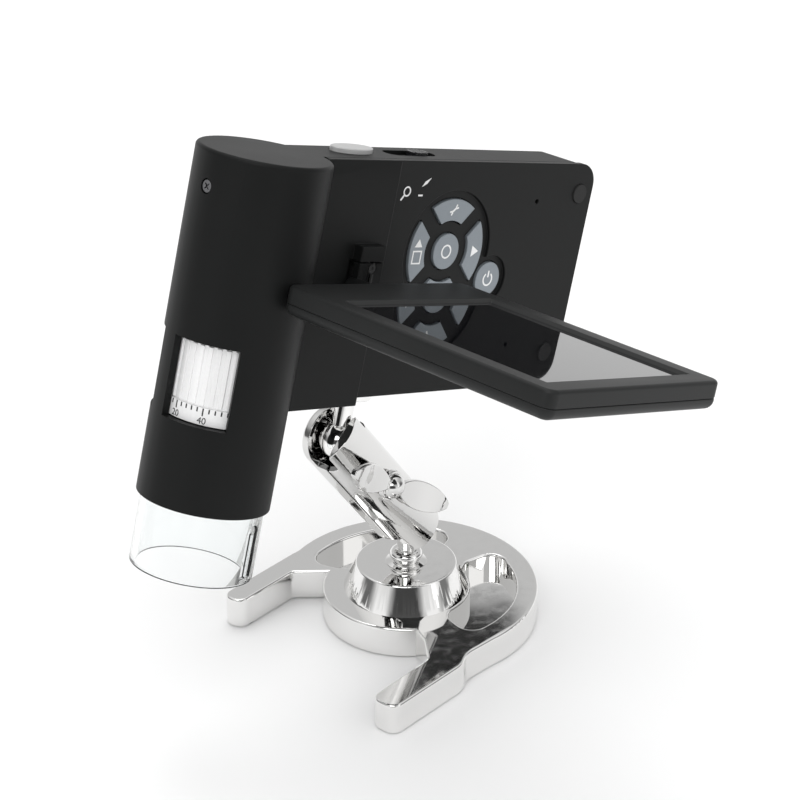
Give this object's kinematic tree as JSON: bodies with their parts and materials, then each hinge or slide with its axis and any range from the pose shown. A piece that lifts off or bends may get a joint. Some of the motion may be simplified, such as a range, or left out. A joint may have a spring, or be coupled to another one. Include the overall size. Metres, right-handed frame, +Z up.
{
  "type": "handheld digital microscope",
  "caption": "Digital microscope with a fold-out screen on a slim keypad housing, a focus barrel with clear nose, and a ball-jointed stand with a forked base",
  "frame": {"origin": "on the floor under the centre of the base's cone", "axes": "+Z up, +X from the base's forked end towards its round end, -Y the side the keypad faces"},
  "size_m": [0.1593, 0.1381, 0.1571],
  "materials": {
    "dark_plastic": "black housing plastic, fine satin",
    "gloss_black": "glossy black plastic",
    "silver_plastic": "metallised silver plastic",
    "chrome": "polished chrome plate",
    "satin_metal": "pearl silver paint on the cast base",
    "clear_plastic": "clear moulded plastic",
    "screen_glass": "black glossy cover lens",
    "lens_glass": "coated glass",
    "rubber": "soft black rubber",
    "brass": "turned brass",
    "steel": "bright steel",
    "board_green": "circuit board",
    "cell_wrap": "foil cell wrap",
    "led_white": "white light-emitting diode",
    "scale_white": "white ring with dark figures"
  },
  "bodies": {
    "base": {"base_casting": "chrome", "base_cone": "chrome", "base_feet": "rubber", "base_screw": "steel"},
    "lower_stud": {"lower_stud": "chrome"},
    "arm": {"clamp_front_shell": "chrome", "clamp_back_shell": "chrome", "clamp_bolt": "chrome"},
    "wing_nut": {"wing_nut": "chrome"},
    "upper_stud": {"upper_stud": "chrome"},
    "head": {"tripod_insert": "brass", "housing_shell": "dark_plastic", "front_cover": "gloss_black", "stop_pads": "rubber", "key_switches": "steel", "main_board": "board_green", "battery": "cell_wrap", "usb_socket": "steel", "card_socket": "steel", "microphone": "dark_plastic", "inner_tube": "dark_plastic", "sensor_board": "board_green", "led_ring": "board_green", "leds": "led_white", "clear_nose": "clear_plastic", "barrel_screw": "steel", "hinge_pin": "steel"},
    "focus_wheel": {"focus_wheel": "silver_plastic", "scale_ring": "scale_white"},
    "lens_carriage": {"lens_carriage": "dark_plastic", "lenses": "lens_glass"},
    "key_top": {"key_top": "silver_plastic"},
    "key_left": {"key_left": "silver_plastic"},
    "key_bottom": {"key_bottom": "silver_plastic"},
    "key_right": {"key_right": "silver_plastic"},
    "key_centre": {"key_centre": "silver_plastic"},
    "key_power": {"key_power": "silver_plastic"},
    "shutter_button": {"shutter_button": "silver_plastic"},
    "zoom_lever": {"zoom_lever": "silver_plastic"},
    "hinge_knuckle": {"hinge_knuckle": "gloss_black", "hinge_screw": "steel"},
    "screen": {"screen_frame": "gloss_black", "screen_back": "dark_plastic", "cover_glass": "screen_glass", "lcd_panel": "screen_glass", "swivel_shaft": "chrome", "screen_screws": "steel"}
  },
  "joints": [
    {"name": "stand_swivel", "type": "hinge", "parent": "base", "child": "lower_stud", "pos_m": [0, 0, 0.031], "axis": [0, 0, 1], "continuous": true},
    {"name": "arm_tilt", "type": "hinge", "parent": "lower_stud", "child": "arm", "pos_m": [0, 0, 0.031], "axis": [0, 1, 0], "range_deg": [-25, 45]},
    {"name": "wing_nut_turn", "type": "hinge", "parent": "arm", "child": "wing_nut", "pos_m": [-0.01457, 0, 0.04966], "axis": [0, 1, 0], "range_deg": [-180, 180]},
    {"name": "head_tilt", "type": "hinge", "parent": "arm", "child": "upper_stud", "pos_m": [-0.0275, 0, 0.0662], "axis": [0, -1, 0], "range_deg": [-25, 40]},
    {"name": "head_swivel", "type": "hinge", "parent": "upper_stud", "child": "head", "pos_m": [-0.0275, 0, 0.0662], "axis": [0.2932, 0, 0.956], "range_deg": [-110, 110]},
    {"name": "focus_turn", "type": "hinge", "parent": "head", "child": "focus_wheel", "pos_m": [-0.06504, 0.00283, 0.09936], "axis": [0.2932, 0, 0.956], "range_deg": [-135, 135]},
    {"name": "lens_slide", "type": "slide", "parent": "head", "child": "lens_carriage", "axis": [0.2932, 0, 0.956], "range_m": [-0.004, 0.004]},
    {"name": "key_top_press", "type": "slide", "parent": "head", "child": "key_top", "axis": [0.0717, 0.9972, -0.022], "range_m": [0, 0.0004], "stiffness_N_per_m": 1500},
    {"name": "key_left_press", "type": "slide", "parent": "head", "child": "key_left", "axis": [0.0717, 0.9972, -0.022], "range_m": [0, 0.0004], "stiffness_N_per_m": 1500},
    {"name": "key_bottom_press", "type": "slide", "parent": "head", "child": "key_bottom", "axis": [0.0717, 0.9972, -0.022], "range_m": [0, 0.0004], "stiffness_N_per_m": 1500},
    {"name": "key_right_press", "type": "slide", "parent": "head", "child": "key_right", "axis": [0.0717, 0.9972, -0.022], "range_m": [0, 0.0004], "stiffness_N_per_m": 1500},
    {"name": "key_centre_press", "type": "slide", "parent": "head", "child": "key_centre", "axis": [0.0717, 0.9972, -0.022], "range_m": [0, 0.0004], "stiffness_N_per_m": 1500},
    {"name": "key_power_press", "type": "slide", "parent": "head", "child": "key_power", "axis": [0.0717, 0.9972, -0.022], "range_m": [0, 0.0004], "stiffness_N_per_m": 1500},
    {"name": "shutter_press", "type": "slide", "parent": "head", "child": "shutter_button", "axis": [-0.2932, 0, -0.956], "range_m": [0, 0.0008], "stiffness_N_per_m": 900},
    {"name": "zoom_slide", "type": "slide", "parent": "head", "child": "zoom_lever", "axis": [0.9534, -0.075, -0.2924], "range_m": [-0.002, 0.002], "stiffness_N_per_m": 250},
    {"name": "screen_fold", "type": "hinge", "parent": "head", "child": "hinge_knuckle", "pos_m": [-0.02759, -0.0085, 0.11256], "axis": [0.2932, 0, 0.956], "range_deg": [0, 20]},
    {"name": "screen_swivel", "type": "hinge", "parent": "hinge_knuckle", "child": "screen", "pos_m": [-0.03191, -0.01658, 0.11389], "axis": [-0.0717, -0.9972, 0.022], "range_deg": [-90, 90]}
  ],
  "couplings": [
    {"joint": "lens_slide", "follows": "focus_turn", "m_per_rad": 0.0016977}
  ]
}
